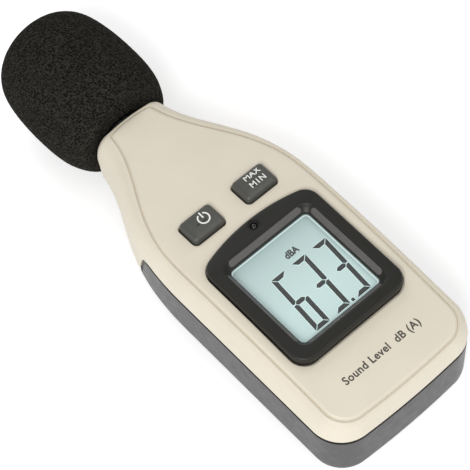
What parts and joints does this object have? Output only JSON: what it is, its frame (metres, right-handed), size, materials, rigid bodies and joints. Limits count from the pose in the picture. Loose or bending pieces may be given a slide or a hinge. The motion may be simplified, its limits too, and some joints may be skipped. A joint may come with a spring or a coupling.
{
  "type": "sound level meter",
  "caption": "Hand-held sound level meter with a lit digit display, push buttons and a foam windscreen over the microphone on its tapered neck.",
  "frame": {"origin": "middle of the rear cover's flat back face, just above the battery door", "axes": "+Y along the body towards the microphone, +Z out of the front face, +X to the right of the display"},
  "size_m": [0.049, 0.1517, 0.0356],
  "materials": {
    "beige_plastic": "satin",
    "dark_plastic": "satin",
    "bezel_plastic": "satin",
    "button_plastic": "satin",
    "clear_plastic": "gloss",
    "display_glass": "gloss",
    "backlight": "satin",
    "white_plastic": "satin",
    "zebra_rubber": "matte",
    "circuit_board": "satin",
    "chip_plastic": "matte",
    "capacitor_sleeve": "gloss",
    "trimmer_plastic": "satin",
    "steel": "satin",
    "microphone_metal": "satin",
    "bushing_rubber": "matte",
    "foam": "matte",
    "cell_jacket": "satin",
    "red_wire": "satin",
    "black_wire": "satin"
  },
  "bodies": {
    "root": {"front_cover": "beige_plastic", "rear_cover": "dark_plastic", "display_bezel": "bezel_plastic", "display_lens": "clear_plastic", "lcd_glass": "display_glass", "backlight_panel": "backlight", "lcd_holder": "white_plastic", "zebra_strip": "zebra_rubber", "main_pcb": "circuit_board", "mcu_chip": "chip_plastic", "amplifier_chip": "chip_plastic", "crystal": "steel", "capacitor_1": "capacitor_sleeve", "capacitor_2": "capacitor_sleeve", "trimmer": "trimmer_plastic", "light_sensor": "clear_plastic", "sensor_light_pipe": "clear_plastic", "tact_base_power": "chip_plastic", "tact_base_maxmin": "chip_plastic", "microphone_barrel": "microphone_metal", "microphone_capsule": "microphone_metal", "microphone_grille": "microphone_metal", "neck_bushing": "bushing_rubber", "microphone_lead_1": "red_wire", "microphone_lead_2": "black_wire", "battery_1": "cell_jacket", "battery_2": "cell_jacket", "battery_3": "cell_jacket", "battery_plate": "steel", "battery_spring": "steel", "battery_bridge_lower": "steel", "battery_bridge_upper": "steel", "battery_lead_red": "red_wire", "battery_lead_black": "black_wire", "case_screw_1": "steel", "case_screw_2": "steel", "case_screw_3": "steel", "case_screw_4": "steel", "pcb_screw_1": "steel", "pcb_screw_2": "steel", "pcb_screw_3": "steel", "pcb_screw_4": "steel"},
    "power_key": {"power_button": "button_plastic", "tact_plunger_power": "white_plastic"},
    "maxmin_key": {"maxmin_button": "button_plastic", "tact_plunger_maxmin": "white_plastic"},
    "windscreen": {"foam_windscreen": "foam"},
    "door": {"battery_door": "dark_plastic"}
  },
  "joints": [
    {"name": "power_press", "type": "slide", "parent": "root", "child": "power_key", "axis": [0, 0, -1], "range_m": [0, 0.0005], "stiffness_N_per_m": 1000, "springref_m": -0.0003},
    {"name": "maxmin_press", "type": "slide", "parent": "root", "child": "maxmin_key", "axis": [0, 0, -1], "range_m": [0, 0.0005], "stiffness_N_per_m": 1000, "springref_m": -0.0003},
    {"name": "windscreen_pull", "type": "slide", "parent": "root", "child": "windscreen", "axis": [0, 1, 0], "range_m": [0, 0.03]},
    {"name": "battery_door_slide", "type": "slide", "parent": "root", "child": "door", "axis": [0, -1, 0], "range_m": [0, 0.054]}
  ]
}
